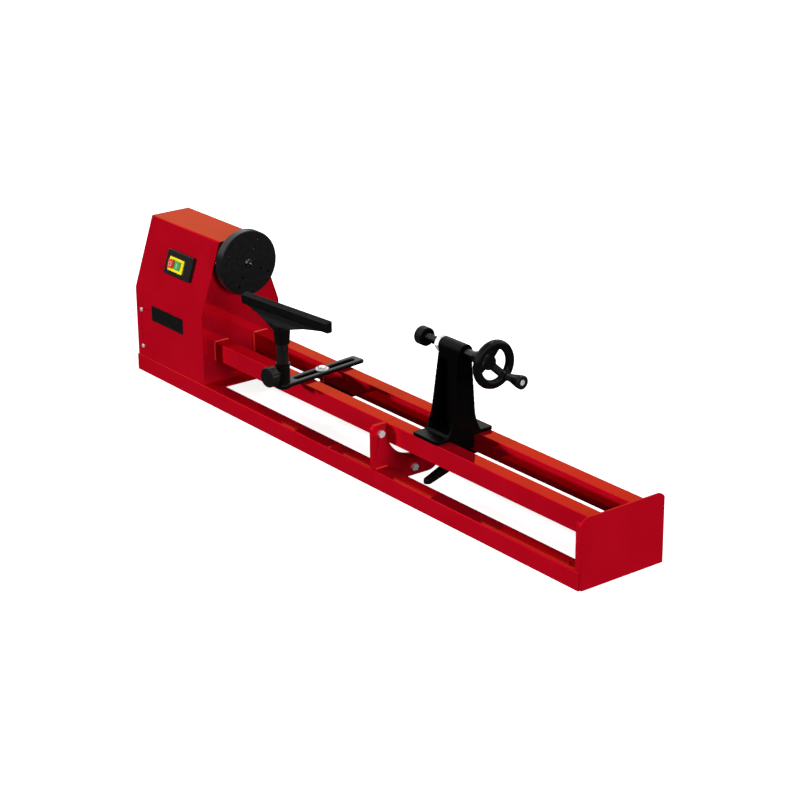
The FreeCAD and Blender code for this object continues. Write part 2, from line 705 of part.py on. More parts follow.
def tool_rest():
    """T-shaped rest: a bar with a nearly flat top, a web that widens into it, and a hub."""
    y = -POST_REACH
    left, right = -114.0, 138.0
    front, rear = -6.0, 8.5
    section = [(front, 267), (front, REST_TOP - 3), (rear, REST_TOP), (rear, 263), (4, 262),
               (-3, 262)]
    bar = prism([V(left, y + d, z) for d, z in section], V(right - left, 0, 0))
    levels = [(236, -13.5, 13.5, -13.0, 13.0), (246, -37, 36, -11.0, 11.0),
              (255, -66, 70, -7.0, 8.5), (263, -100, 122, -4.5, 6.5)]
    rings = []
    for z, s0, s1, d0, d1 in levels:
        corners = [V(s0, y + d0, z), V(s1, y + d0, z), V(s1, y + d1, z), V(s0, y + d1, z)]
        rings.append(Part.makePolygon(corners + [corners[0]]))
    web = Part.makeLoft(rings, True, True)
    hub = Part.makeCone(14.4, 17.0, 38, V(0, y, HUB_BOTTOM), Z_AXIS)
    hub = hub.makeFillet(1.2, [e for e in hub.Edges if e.CenterOfMass.z < HUB_BOTTOM + 0.1])
    rest = fused([bar, web, hub]).cut(rod_z(HUB_BOTTOM - 1, POST_TOP, POST_R, 0, y))
    rest.rotate(V(0, y, 0), Z_AXIS, BAR_ANGLE)
    return in_rest(rest)


# ---- tailstock -------------------------------------------------------------
GUIDE_BOTTOM = 94.0


def at_tail(shape):
    """Move a shape from the tailstock's own frame (clamp bolt at x = 0) into place."""
    moved = shape.copy()
    moved.translate(V(TAIL_X, 0, 0))
    return moved


def pillar_side(sign):
    """One side of the pillar seen along the bed: a flared foot, then a straight taper."""
    foot = V(TAIL_FRONT, sign * 38, 129)
    neck = V(TAIL_FRONT, sign * 24, 176)
    top = V(TAIL_FRONT, sign * 15.7, SPINDLE_Z)
    flare = Part.Arc(foot, V(TAIL_FRONT, sign * 28.6, 150), neck).toShape()
    return foot, neck, top, flare


def tailstock_body():
    """Cast tailstock: sole plate, H-section pillar, barrel and guide block."""
    sole = round_along(box(TAIL_FRONT, TAIL_BACK, -66, 66, BED_TOP + 0.1, 129), Z_AXIS, 3)
    guide = box(-25, 29, -27, 27, GUIDE_BOTTOM, BED_TOP + 0.1)
    left_foot, left_neck, left_top, left_flare = pillar_side(-1)
    right_foot, right_neck, right_top, right_flare = pillar_side(1)
    wire = Part.Wire([left_flare, Part.makeLine(left_neck, left_top),
                      Part.makeLine(left_top, right_top), Part.makeLine(right_top, right_neck),
                      right_flare, Part.makeLine(right_foot, left_foot)])
    seen_along = Part.Face(wire).extrude(V(TAIL_BACK - TAIL_FRONT, 0, 0))
    seen_across = prism_xz([(TAIL_FRONT, 129), (TAIL_BACK, 129), (TAIL_BACK, SPINDLE_Z),
                            (BARREL_START + 3, SPINDLE_Z)], -80, 80)
    pillar = seen_along.common(seen_across)
    recess = [(-29.6, 133), (29.5, 133), (29.5, 268), (-17.6, 268)]
    for y0, y1 in ((-80, -5), (5, 80)):
        pocket = round_along(prism_xz(recess, y0, y1), Y_AXIS, 5)
        pillar = pillar.cut(pocket)
    barrel = rod_x(BARREL_START, BARREL_END, BARREL_R)
    body = fused([sole, guide, pillar, barrel])
    body = body.cut(rod_x(BARREL_START - 1, BARREL_END + 1, SCREW_R + RUN_FIT))
    body = body.cut(rod_x(SLEEVE_X0 - 30, BARREL_END + 1, SLEEVE_R + RUN_FIT))
    return body.cut(rod_z(GUIDE_BOTTOM - 1, 118, 5))


def tail_clamp_bolt():
    """Stud in the guide block that carries the clamp plate and the lever."""
    return rod_z(56, 118, 5)


def tail_clamp_plate():
    """Plate that the lever pulls up against the bed tubes."""
    top = BED_TOP - TUBE_HEIGHT - 0.1
    plate = round_along(box(-18, 18, -52, 52, top - 7, top), Z_AXIS, 5)
    return plate.cut(rod_z(top - 8, top + 1, 5 + RUN_FIT))


LEVER_TOP = 76.2
LEVER_REACH = 91.0
LEVER_ANGLE = math.degrees(math.atan2(-85, 33))


def clamp_lever():
    """Clamp lever under the bed, modelled along X and turned to where it rests."""
    hub = rod_z(58, LEVER_TOP, 11, 0, 0)
    outline = [(0, 58), (30, 55), (LEVER_REACH, 55), (LEVER_REACH, 64), (30, 68), (0, 72)]
    bar = prism_xz(outline, -8, 8)
    tip = rod_z(55, 64, 8, LEVER_REACH, 0)
    handle = fused([bar, tip])
    plan = fused([prism([V(0, -9, 50), V(LEVER_REACH, -7.5, 50), V(LEVER_REACH, 7.5, 50),
                         V(0, 9, 50)], V(0, 0, 40)), rod_z(50, 90, 7.5, LEVER_REACH, 0)])
    handle = handle.common(plan)
    handle = handle.makeFillet(2.2, [e for e in handle.Edges
                                     if abs(e.CenterOfMass.z - 64) < 0.6
                                     and e.CenterOfMass.x > 60])
    lever = fused([hub, handle]).cut(rod_z(50, 90, 5 + RUN_FIT, 0, 0))
    lever.rotate(V(0, 0, 0), Z_AXIS, LEVER_ANGLE)
    return lever


def lock_nut():
    """Hexagon lock nut on the screw, against the barrel."""
    nut = hexagon_x(BARREL_START - 12.2, BARREL_START - 0.2, 27, 0, SPINDLE_Z)
    chamfer = turned_x([(BARREL_START - 13, 0), (BARREL_START - 13, 12.5), (BARREL_START - 9.5, 16),
                        (BARREL_START + 1, 16), (BARREL_START + 1, 0)])
    return nut.common(chamfer).cut(rod_x(BARREL_START - 13, BARREL_START, SCREW_R + RUN_FIT))


RING_X0 = -92.0
RING_X1 = -73.0
RING_R = 17.5
SCREW_PITCH = 2.0
THREAD_END = -1.0
SLEEVE_X0 = 28.0
SLEEVE_R = 9.2
HUB_X = 65.0


def tail_screw():
    """Feed screw: plain nose, threaded length, thicker plain shank up to the handwheel."""
    profile = [(RING_X0 + 9, 0), (RING_X0 + 9, 6), (RING_X1 + 0.4, 6)]
    x = RING_X1 + 0.4
    while x + SCREW_PITCH <= THREAD_END:
        profile += [(x, SCREW_R - 1), (x + SCREW_PITCH / 2, SCREW_R)]
        x += SCREW_PITCH
    profile += [(x, SCREW_R - 1), (x, SCREW_R), (SLEEVE_X0, SCREW_R), (SLEEVE_X0, SLEEVE_R),
                (HUB_X, SLEEVE_R), (HUB_X, 7), (HUB_X + 38, 7), (HUB_X + 38, 0)]
    return turned_x(profile)


def centre_housing():
    """Ring that carries the tail centre, hollow at the back where the screw enters."""
    ring = turned_x([(RING_X0, 0), (RING_X0, 16), (RING_X0 + 1, RING_R),
                     (RING_X1 - 1, RING_R), (RING_X1, RING_R - 1), (RING_X1, 14),
                     (RING_X1 - 5, 13.5), (RING_X1 - 5, 10.5), (RING_X1 - 1, 10),
                     (RING_X1 - 1, 0)])
    for k in range(24):
        turn = math.radians(15 * k)
        ring = ring.cut(rod_x(RING_X0 + 3, RING_X1 - 3, 1.2, (RING_R + 0.4) * math.cos(turn),
                              SPINDLE_Z + (RING_R + 0.4) * math.sin(turn)))
    return ring.cut(rod_x(RING_X0 - 1, RING_X1 + 1, 6 + RUN_FIT))


def centre_point():
    """Revolving point that holds the work."""
    return turned_x([(RING_X0 + 7.5, 0), (RING_X0 + 7.5, 6), (RING_X0 - 0.1, 6),
                     (RING_X0 - 0.1, 9), (RING_X0 - 1.5, 9), (RING_X0 - 14, 0)])


def handwheel():
    """Dished three-spoke handwheel: the hub sits behind the plane of the rim."""
    rim_middle = 37.2
    rim = Part.makeTorus(rim_middle, WHEEL_R - rim_middle, V(WHEEL_X, 0, SPINDLE_Z), X_AXIS)
    hub = turned_x([(HUB_X, 0), (HUB_X, 11), (HUB_X + 6, 12), (HUB_X + 24, 14),
                    (HUB_X + 38, 14.5), (HUB_X + 41, 13), (HUB_X + 41, 0)])
    pieces = [rim, hub]
    for k in range(3):
        spoke = prism_xz([(HUB_X + 26, SPINDLE_Z + 8), (HUB_X + 40, SPINDLE_Z + 8),
                          (WHEEL_X + 4, SPINDLE_Z + rim_middle),
                          (WHEEL_X - 5, SPINDLE_Z + rim_middle)], -7, 7)
        spoke = spoke.makeFillet(2.5, [e for e in spoke.Edges if abs(e.CenterOfMass.y) > 6.9
                                       and e.CenterOfMass.z > SPINDLE_Z + 10
                                       and e.CenterOfMass.z < SPINDLE_Z + 30])
        spoke.rotate(V(0, 0, SPINDLE_Z), X_AXIS, math.degrees(CRANK_ANGLE) - 90 + 120 * k)
        pieces.append(spoke)
    pieces.append(rod_x(WHEEL_X - 7, GRIP_X - 0.1, 8.5, *crank_centre()))
    wheel = fused(pieces)
    wheel = wheel.cut(rod_x(HUB_X - 1, HUB_X + 38, 7))
    return wheel.cut(rod_x(GRIP_X - 22, GRIP_X, 4, *crank_centre()))


def crank_centre():
    """Axis of the crank in (y, z)."""
    radius = 35.0
    return radius * math.cos(CRANK_ANGLE), SPINDLE_Z + radius * math.sin(CRANK_ANGLE)


def crank_pin():
    """Steel pin the grip turns on, with a slotted end."""
    y, z = crank_centre()
    end = GRIP_X + 41.5
    pin = turned_x([(GRIP_X - 22, 0), (GRIP_X - 22, 4), (end - 3.3, 4), (end - 3.3, 5.5),
                    (end - 1, 5.5), (end, 4.5), (end, 0)], y, z)
    return pin.cut(box(end - 1.3, end + 1, y - 0.7, y + 0.7, z - 7, z + 7))


def crank_grip():
    """Tapered grip, free to turn on its pin."""
    y, z = crank_centre()
    profile = [(0.1, 4.1), (0.1, 6), (2, 6.8), (14, 8), (27, 11.2), (36, 12.8),
               (40.5, 12.8), (42, 11.4), (42, 5.8), (38, 5.8), (38, 4.1)]
    return turned_x([(GRIP_X + x, radius) for x, radius in profile], y, z)


# ---- write every node ------------------------------------------------------
save("base_rail_front_left", base_rail(-1, LEFT, JOINT_X))
save("base_rail_front_right", right_rail(-1))
save("base_rail_rear_left", base_rail(1, LEFT, JOINT_X))
save("base_rail_rear_right", right_rail(1))
save("headstock_floor", headstock_floor())
save("bed_tube_front_left", bed_tube(-1, LEFT + 40, JOINT_X - 0.3))
save("bed_tube_front_right", bed_tube(-1, JOINT_X + 0.3, RIGHT - SHEET))
save("bed_tube_rear_left", bed_tube(1, LEFT + 40, JOINT_X - 0.3))
save("bed_tube_rear_right", bed_tube(1, JOINT_X + 0.3, RIGHT - SHEET))
save("joint_plate_left", joint_plate(JOINT_X - PLATE, JOINT_X))
save("joint_plate_right", joint_plate(JOINT_X, JOINT_X + PLATE))
save("joint_bolts", joint_bolts())
save("joint_nuts", joint_nuts())
save("end_plate", end_plate())

save("headstock_hood", headstock_hood())
save("headstock_end_panel", end_panel())
save("belt_cover", belt_cover())
save("hood_screws", hood_screws())
save("end_panel_screws", end_panel_screws())
save("cable_gland", cable_gland())
save("name_plate", name_plate())

save("switch_box", switch_box())
save("switch_plate", switch_plate())
for button_name in BUTTONS:
    save(button_name, switch_button(button_name))

save("bearing_housing", bearing_housing())
save("spindle_bearing_front", spindle_bearing(PANEL_FACE - HOOD_SHEET - 12))
save("spindle_bearing_rear", spindle_bearing(PANEL_FACE - HOOD_SHEET - 125))
save("housing_bolts", housing_bolts())
save("spindle_shaft", spindle_shaft())
save("spindle_pulley", stepped_pulley(SPINDLE_STEPS, 10, SPINDLE_Z))
save("faceplate", faceplate())
save("drive_centre", drive_centre())
save("drive_belt", drive_belt())

save("motor_bracket", motor_bracket())
save("motor_bolts", motor_bolts())
save("motor_can", motor_can())
save("motor_stator", motor_stator())
save("motor_rotor", motor_rotor())
save("motor_shaft", rod_x(LEFT + 10, CAN_X1 + 4, 7, 0, MOTOR_Z))
save("motor_pulley", stepped_pulley(MOTOR_STEPS, 7, MOTOR_Z))

save("rest_clamp_plate", rest_clamp_plate())
save("rest_clamp_bolt", rest_clamp_bolt())
save("rest_washer", rest_washer())
save("banjo_arm", banjo_arm())
save("lock_knob", lock_knob())
save("post_collar", post_collar())
save("rest_post", rest_post())
save("tool_rest", tool_rest())

save("tailstock_body", at_tail(tailstock_body()))
save("tail_clamp_bolt", at_tail(tail_clamp_bolt()))
save("tail_clamp_plate", at_tail(tail_clamp_plate()))
save("clamp_lever", at_tail(clamp_lever()))
save("lock_nut", at_tail(lock_nut()))
save("tail_screw", at_tail(tail_screw()))
save("centre_housing", at_tail(centre_housing()))
save("centre_point", at_tail(centre_point()))
save("handwheel", at_tail(handwheel()))
save("crank_pin", at_tail(crank_pin()))
save("crank_grip", at_tail(crank_grip()))
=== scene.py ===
import json
import math

import bpy
from mathutils import Matrix, Vector, noise as noise_at


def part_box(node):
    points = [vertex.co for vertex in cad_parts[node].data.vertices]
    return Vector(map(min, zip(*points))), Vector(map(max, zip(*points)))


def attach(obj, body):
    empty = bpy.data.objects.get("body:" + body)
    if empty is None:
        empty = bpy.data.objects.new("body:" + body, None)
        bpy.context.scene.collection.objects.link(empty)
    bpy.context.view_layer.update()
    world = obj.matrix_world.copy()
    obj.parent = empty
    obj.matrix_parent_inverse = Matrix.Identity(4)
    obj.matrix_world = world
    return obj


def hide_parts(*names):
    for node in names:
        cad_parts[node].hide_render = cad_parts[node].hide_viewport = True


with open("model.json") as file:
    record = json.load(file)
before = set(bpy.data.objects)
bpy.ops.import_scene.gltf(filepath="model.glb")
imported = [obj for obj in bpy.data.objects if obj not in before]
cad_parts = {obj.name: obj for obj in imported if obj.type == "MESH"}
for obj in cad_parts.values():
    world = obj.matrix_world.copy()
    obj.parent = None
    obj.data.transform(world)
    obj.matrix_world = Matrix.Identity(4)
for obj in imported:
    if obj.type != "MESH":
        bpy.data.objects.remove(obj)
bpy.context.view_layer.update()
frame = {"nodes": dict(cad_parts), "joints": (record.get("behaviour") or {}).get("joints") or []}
NODES = frame["nodes"]
SCENE = bpy.context.scene


# ---- camera ----------------------------------------------------------------
CAMERA_AT = Vector((3.0476, -2.3713, 1.6225))
HEADING = 0.9155
TILT = 0.3644
ROLL = -0.0084


def add_camera():
    """Camera at the photograph's viewing angle."""
    forward = Vector((-math.sin(HEADING) * math.cos(TILT),
                      math.cos(HEADING) * math.cos(TILT), -math.sin(TILT)))
    level = forward.cross(Vector((0, 0, 1))).normalized()
    upright = level.cross(forward)
    right = level * math.cos(ROLL) + upright * math.sin(ROLL)
    up = upright * math.cos(ROLL) - level * math.sin(ROLL)
    data = bpy.data.cameras.new("camera")
    data.lens = 100.0
    data.sensor_width = 36.0
    data.clip_end = 100
    camera = bpy.data.objects.new("camera", data)
    turn = Matrix((right, up, -forward)).transposed()
    camera.matrix_world = Matrix.Translation(CAMERA_AT) @ turn.to_4x4()
    SCENE.collection.objects.link(camera)
    SCENE.camera = camera


# ---- light and floor -------------------------------------------------------
# Each sky is a list of (height of the ray, brightness), from -1 below to 1 straight up.
FILL_SKY = [(-1, 0.17), (0, 0.17), (0.3, 0.20), (1, 0.30)]
GLOSS_SKY = [(0.10, 0.01), (0.28, 1.67), (0.60, 1.67), (1, 0.4)]
FLOOR_GLOW = 0.86           # keeps the shadows on the white floor almost unseen


def aimed(light, direction):
    """Turn a light so that it shines along a direction."""
    light.rotation_mode = "QUATERNION"
    light.rotation_quaternion = Vector(direction).to_track_quat("-Z", "Y")


def add_sun(name, direction, strength, spread, mirrored):
    """Distant soft light along a direction; spread in degrees; mirrored if gloss shows it."""
    data = bpy.data.lights.new(name, "SUN")
    data.energy = strength
    data.angle = math.radians(spread)
    light = bpy.data.objects.new(name, data)
    light.visible_glossy = mirrored
    aimed(light, direction)
    SCENE.collection.objects.link(light)


def add_softbox(name, place, aim, size, power):
    """Square soft light at a place, aimed at a point; gloss does not show it."""
    data = bpy.data.lights.new(name, "AREA")
    data.shape = "SQUARE"
    data.size = size
    data.energy = power
    light = bpy.data.objects.new(name, data)
    light.visible_glossy = False
    light.location = place
    aimed(light, Vector(aim) - Vector(place))
    SCENE.collection.objects.link(light)


def node_tree(owner):
    """Empty node tree of a material or world, with its output."""
    owner.use_nodes = True
    tree = owner.node_tree
    tree.nodes.clear()
    kind = "ShaderNodeOutputWorld" if isinstance(owner, bpy.types.World) \
        else "ShaderNodeOutputMaterial"
    return tree, tree.nodes.new(kind)


def sky(tree, height, stops):
    """Background whose brightness follows the height of the ray, -1 straight down to 1 up."""
    half = tree.nodes.new("ShaderNodeMapRange")
    half.inputs["From Min"].default_value = -1
    tree.links.new(height, half.inputs["Value"])
    bands = tree.nodes.new("ShaderNodeValToRGB")
    elements = bands.color_ramp.elements
    while len(elements) < len(stops):
        elements.new(0.5)
    for element, (place, glow) in zip(elements, stops):
        element.position = (place + 1) / 2
        element.color = (glow, glow, glow, 1)
    tree.links.new(half.outputs["Result"], bands.inputs["Fac"])
    background = tree.nodes.new("ShaderNodeBackground")
    tree.links.new(bands.outputs["Color"], background.inputs["Color"])
    return background.outputs[0]


def add_world():
    """White backdrop, soft fill from above, and a bright band of sky for gloss to reflect."""
    world = bpy.data.worlds.new("studio")
    SCENE.world = world
    tree, out = node_tree(world)
    coords = tree.nodes.new("ShaderNodeTexCoord")
    split = tree.nodes.new("ShaderNodeSeparateXYZ")
    tree.links.new(coords.outputs["Generated"], split.inputs[0])
    height = split.outputs["Z"]
    fill = sky(tree, height, FILL_SKY)
    gloss = sky(tree, height, GLOSS_SKY)
    white = tree.nodes.new("ShaderNodeBackground")
    white.inputs["Color"].default_value = (1, 1, 1, 1)
    path = tree.nodes.new("ShaderNodeLightPath")
    shown = fill
    for ray, seen in (("Is Glossy Ray", gloss), ("Is Camera Ray", white.outputs[0])):
        choose = tree.nodes.new("ShaderNodeMixShader")
        tree.links.new(path.outputs[ray], choose.inputs[0])
        tree.links.new(shown, choose.inputs[1])
        tree.links.new(seen, choose.inputs[2])
        shown = choose.outputs[0]
    tree.links.new(shown, out.inputs["Surface"])


def add_floor():
    """Large pale floor just under the base; it neither mirrors in the paint nor lights it."""
    bpy.ops.mesh.primitive_plane_add(size=60, location=(0, 0, -0.0005))
    floor = bpy.context.object
    floor.name = "floor"
    material = bpy.data.materials.new("floor")
    tree, out = node_tree(material)
    shader = tree.nodes.new("ShaderNodeBsdfDiffuse")
    shader.inputs["Color"].default_value = (0.90, 0.90, 0.90, 1)
    glow = tree.nodes.new("ShaderNodeEmission")
    glow.inputs["Color"].default_value = (1, 1, 1, 1)
    glow.inputs["Strength"].default_value = FLOOR_GLOW
    both = tree.nodes.new("ShaderNodeAddShader")
    tree.links.new(shader.outputs[0], both.inputs[0])
    tree.links.new(glow.outputs[0], both.inputs[1])
    tree.links.new(both.outputs[0], out.inputs["Surface"])
    floor.data.materials.append(material)
    floor.visible_glossy = False
    floor.visible_diffuse = False


# ---- materials -------------------------------------------------------------
def principled(name, colour, rough, metal=0.0, specular=0.5):
    """Material with one principled shader; returns it with its tree and shader."""
    material = bpy.data.materials.new(name)
    tree, out = node_tree(material)
    shader = tree.nodes.new("ShaderNodeBsdfPrincipled")
    shader.inputs["Base Color"].default_value = (*colour, 1)
    shader.inputs["Roughness"].default_value = rough
    shader.inputs["Metallic"].default_value = metal
    shader.inputs["Specular IOR Level"].default_value = specular
    tree.links.new(shader.outputs[0], out.inputs["Surface"])
    return material, tree, shader


def noise(tree, scale, detail=4.0, rough=0.5, stretch=(1, 1, 1)):
    """Noise value in object space, in features per metre."""
    coords = tree.nodes.new("ShaderNodeTexCoord")
    mapping = tree.nodes.new("ShaderNodeMapping")
    mapping.inputs["Scale"].default_value = stretch
    texture = tree.nodes.new("ShaderNodeTexNoise")
    texture.inputs["Scale"].default_value = scale
    texture.inputs["Detail"].default_value = detail
    texture.inputs["Roughness"].default_value = rough
    tree.links.new(coords.outputs["Object"], mapping.inputs["Vector"])
    tree.links.new(mapping.outputs["Vector"], texture.inputs["Vector"])
    return texture.outputs["Fac"]


def ramp(tree, value, dark, light):
    """Colour between two ends that follows a value."""
    node = tree.nodes.new("ShaderNodeValToRGB")
    node.color_ramp.elements[0].position = 0.35
    node.color_ramp.elements[0].color = (*dark, 1)
    node.color_ramp.elements[1].position = 0.65
    node.color_ramp.elements[1].color = (*light, 1)
    tree.links.new(value, node.inputs["Fac"])
    return node.outputs["Color"]


def bump(tree, shader, value, strength, distance):
    """Drive the normal of the shader from a height value."""
    node = tree.nodes.new("ShaderNodeBump")
    node.inputs["Strength"].default_value = strength
    node.inputs["Distance"].default_value = distance
    tree.links.new(value, node.inputs["Height"])
    tree.links.new(node.outputs["Normal"], shader.inputs["Normal"])


def span(tree, value, low, high):
    """Map a 0..1 value onto a range."""
    node = tree.nodes.new("ShaderNodeMapRange")
    node.inputs["To Min"].default_value = low
    node.inputs["To Max"].default_value = high
    tree.links.new(value, node.inputs["Value"])
    return node.outputs["Result"]


def red_paint():
    """Glossy red enamel with metal flake, and the slight orange peel of sprayed sheet metal."""
    material, tree, shader = principled("red_paint", (0.40, 0.002, 0.010), 0.06,
                                        metal=0.5, specular=0.0)
    shader.inputs["Specular Tint"].default_value = (1.0, 0.70, 0.50, 1.0)
    tone = ramp(tree, noise(tree, 14), (0.385, 0.0018, 0.0095), (0.415, 0.0024, 0.0115))
    tree.links.new(tone, shader.inputs["Base Color"])
    tree.links.new(span(tree, noise(tree, 60), 0.04, 0.08), shader.inputs["Roughness"])
    bump(tree, shader, noise(tree, 420, 2), 0.05, 0.0003)
    return material


def black_paint(name, rough, grain, depth, specular, tone_and_painted_light=1.0):
    """Black enamel; grain is the size of its texture, depth its strength; the last argument
    scales its brightness, partly the part's own tone and partly painted light (above 1) and
    painted shade (below 1) for how brightly each part is lit.
    """
    material, tree, shader = principled(name, (0.003, 0.003, 0.003), rough, specular=specular)
    tone = ramp(tree, noise(tree, 90), [0.0016 * tone_and_painted_light] * 3, [0.0022 * tone_and_painted_light] * 3)
    tree.links.new(tone, shader.inputs["Base Color"])
    tree.links.new(span(tree, noise(tree, 150), rough - 0.06, rough + 0.08),
                   shader.inputs["Roughness"])
    bump(tree, shader, noise(tree, grain, 5), depth, 0.0006)
    return material


def metal(name, colour, rough, grain, stretch=(1, 1, 1), share=1.0):
    """Bare or plated metal with fine marks; share is how much of it mirrors."""
    material, tree, shader = principled(name, colour, rough, metal=share)
    light = tuple(min(1.0, c * 1.12) for c in colour)
    dark = tuple(c * 0.85 for c in colour)
    tree.links.new(ramp(tree, noise(tree, grain, 4, 0.6, stretch), dark, light),
                   shader.inputs["Base Color"])
    tree.links.new(span(tree, noise(tree, grain * 2), rough - 0.08, rough + 0.1),
                   shader.inputs["Roughness"])
    bump(tree, shader, noise(tree, grain * 3, 3, 0.6, stretch), 0.12, 0.0002)
    return material


def plastic(name, colour, rough, grain=900, specular=0.5):
    """Moulded plastic with a fine texture."""
    material, tree, shader = principled(name, colour, rough, specular=specular)
    light = tuple(min(1.0, c * 1.15 + 0.001) for c in colour)
    tree.links.new(ramp(tree, noise(tree, 70), colour, light), shader.inputs["Base Color"])
    bump(tree, shader, noise(tree, grain, 3), 0.15, 0.0003)
    return material


MATERIALS = {
    "red": red_paint(),
    # The last number of each black scales its brightness: black_cast is darkened partly as
    # painted shade for its shadowed recesses; black_rough and black_turned are lightened partly
    # as painted light and highlight for how the rest, faceplate and post are lit.
    "black_cast": black_paint("black_cast", 0.34, 700, 0.35, 0.05, 0.4),
    "black_rough": black_paint("black_rough", 0.32, 700, 0.35, 0.09, 1.1),
    "black_turned": black_paint("black_turned", 0.24, 400, 0.04, 0.20, 2.6),
    "black_gloss": black_paint("black_gloss", 0.18, 400, 0.12, 0.10),
    "zinc": metal("zinc_plate", (0.62, 0.63, 0.64), 0.30, 300, share=0.6),
    "steel": metal("bright_steel", (0.70, 0.70, 0.71), 0.24, 240, (0.2, 1, 1)),
    "dark_steel": metal("dark_steel", (0.17, 0.17, 0.175), 0.24, 240),
    "aluminium": metal("cast_aluminium", (0.58, 0.58, 0.60), 0.45, 200),
    "black_plastic": plastic("black_plastic", (0.003, 0.003, 0.003), 0.35, specular=0.2),
    "plate": plastic("name_plate", (0.003, 0.003, 0.003), 0.28, 400, specular=0.2),
    "rubber": plastic("belt_rubber", (0.016, 0.016, 0.016), 0.7),
    "yellow": plastic("yellow_plastic", (0.46, 0.38, 0.004), 0.35),
    "red_plastic": plastic("red_plastic", (0.32, 0.018, 0.006), 0.35),
    "green": plastic("green_plastic", (0.025, 0.19, 0.05), 0.35),
    "white_print": plastic("white_print", (0.34, 0.34, 0.32), 0.5),
    "weld": plastic("weld_paint", (0.42, 0.010, 0.009), 0.3, 300),
    "screw": metal("blacked_screw", (0.035, 0.034, 0.036), 0.3, 400),
}

FINISH = {
    "red": ["base_rail_front_left", "base_rail_front_right", "base_rail_rear_left",
            "base_rail_rear_right", "headstock_floor", "bed_tube_front_left",
            "bed_tube_front_right", "bed_tube_rear_left", "bed_tube_rear_right",
            "joint_plate_left", "joint_plate_right", "end_plate", "headstock_hood",
            "headstock_end_panel", "belt_cover"],
    "zinc": ["joint_bolts", "joint_nuts", "hood_screws", "end_panel_screws", "motor_bolts",
             "housing_bolts", "rest_washer", "tail_clamp_bolt", "lock_nut", "crank_pin"],
    "steel": ["spindle_bearing_front", "spindle_bearing_rear", "spindle_shaft", "motor_shaft",
              "centre_point", "motor_rotor", "motor_stator", "rest_clamp_bolt"],
    "dark_steel": ["drive_centre"],
    "black_cast": ["tailstock_body", "tail_clamp_plate", "rest_clamp_plate",
                   "bearing_housing", "motor_bracket", "motor_can"],
    "black_rough": ["tool_rest"],
    "black_turned": ["faceplate", "rest_post"],
    "black_gloss": ["banjo_arm", "handwheel", "clamp_lever", "post_collar",
                    "centre_housing"],
    "screw": ["tail_screw"],
    "black_plastic": ["switch_box", "cable_gland", "lock_knob", "crank_grip"],
    "plate": ["name_plate"],
    "aluminium": ["spindle_pulley", "motor_pulley"],
    "rubber": ["drive_belt"],
    "yellow": ["switch_plate"],
    "red_plastic": ["stop_button"],
    "green": ["start_button"],
}


def dress_nodes():
    """Give every CAD node its material."""
    for finish, names in FINISH.items():
        for name in names:
            slots = NODES[name].data.materials
            slots.clear()
            slots.append(MATERIALS[finish])


# ---- softened CAD nodes ----------------------------------------------------
SHEET_METAL = ["base_rail_front_left", "base_rail_front_right", "base_rail_rear_left",
               "base_rail_rear_right", "headstock_floor", "joint_plate_left",
               "joint_plate_right", "end_plate", "headstock_hood", "belt_cover",
               "motor_bracket", "rest_clamp_plate", "tail_clamp_plate"]
EDGE_ROUND = 0.0005
# The castings, with the size of the grid that each one is rounded on.
CASTINGS = {"tailstock_body": 0.0009, "banjo_arm": 0.0007, "tool_rest": 0.0007,
            "clamp_lever": 0.0006, "handwheel": 0.0008}


def soften_edges(node):
    """Small round on every sharp edge of a CAD node."""
    weld = NODES[node].modifiers.new("weld", "WELD")
    weld.merge_threshold = 1e-6
    edges = NODES[node].modifiers.new("edges", "BEVEL")
    edges.width = EDGE_ROUND
    edges.segments = 2
    edges.limit_method = "ANGLE"
    edges.angle_limit = math.radians(40)
    edges.harden_normals = True


def soften_casting(node, cell):
    """Rounded corners and fillets of a sand casting; cell is the size of the grid in metres."""
    grid = NODES[node].modifiers.new("grid", "REMESH")
    grid.mode = "VOXEL"
    grid.voxel_size = cell
    grid.use_smooth_shade = True
    relax = NODES[node].modifiers.new("relax", "SMOOTH")
    relax.factor = 0.5
    relax.iterations = 5


# ---- pieces ----------------------------------------------------------------
def piece(name, points, faces, material, body, crease=35):
    """Mesh that rides on a body; edges bent more than the crease angle stay sharp."""
    mesh = bpy.data.meshes.new(name)
    mesh.from_pydata([tuple(p) for p in points], [], faces)
    mesh.shade_smooth()
    mesh.set_sharp_from_angle(angle=math.radians(crease))
    mesh.materials.append(MATERIALS[material])
    thing = bpy.data.objects.new(name, mesh)
    SCENE.collection.objects.link(thing)
    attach(thing, body)
    return thing


def tube_mesh(path, radii, sides, closed):
    """Points and faces of a round tube of varying radius along a path."""
    points, faces = [], []
    count = len(path)
    for k, centre in enumerate(path):
        ahead = path[(k + 1) % count] if closed or k < count - 1 else centre
        behind = path[k - 1] if closed or k > 0 else centre
        run = (ahead - behind).normalized()
        seed = Vector((0, 0, 1)) if abs(run.z) < 0.9 else Vector((0, 1, 0))
        across = run.cross(seed).normalized()
        over = across.cross(run)
        for j in range(sides):
            turn = 2 * math.pi * j / sides
            points.append(centre + radii[k] * (across * math.cos(turn) + over * math.sin(turn)))
    for k in range(count if closed else count - 1):
        for j in range(sides):
            a, b = k * sides + j, k * sides + (j + 1) % sides
            c, d = ((k + 1) % count) * sides + (j + 1) % sides, ((k + 1) % count) * sides + j
            faces.append((a, b, c, d))
    if not closed:
        faces.append(tuple(range(sides - 1, -1, -1)))
        faces.append(tuple((count - 1) * sides + j for j in range(sides)))
    return points, faces


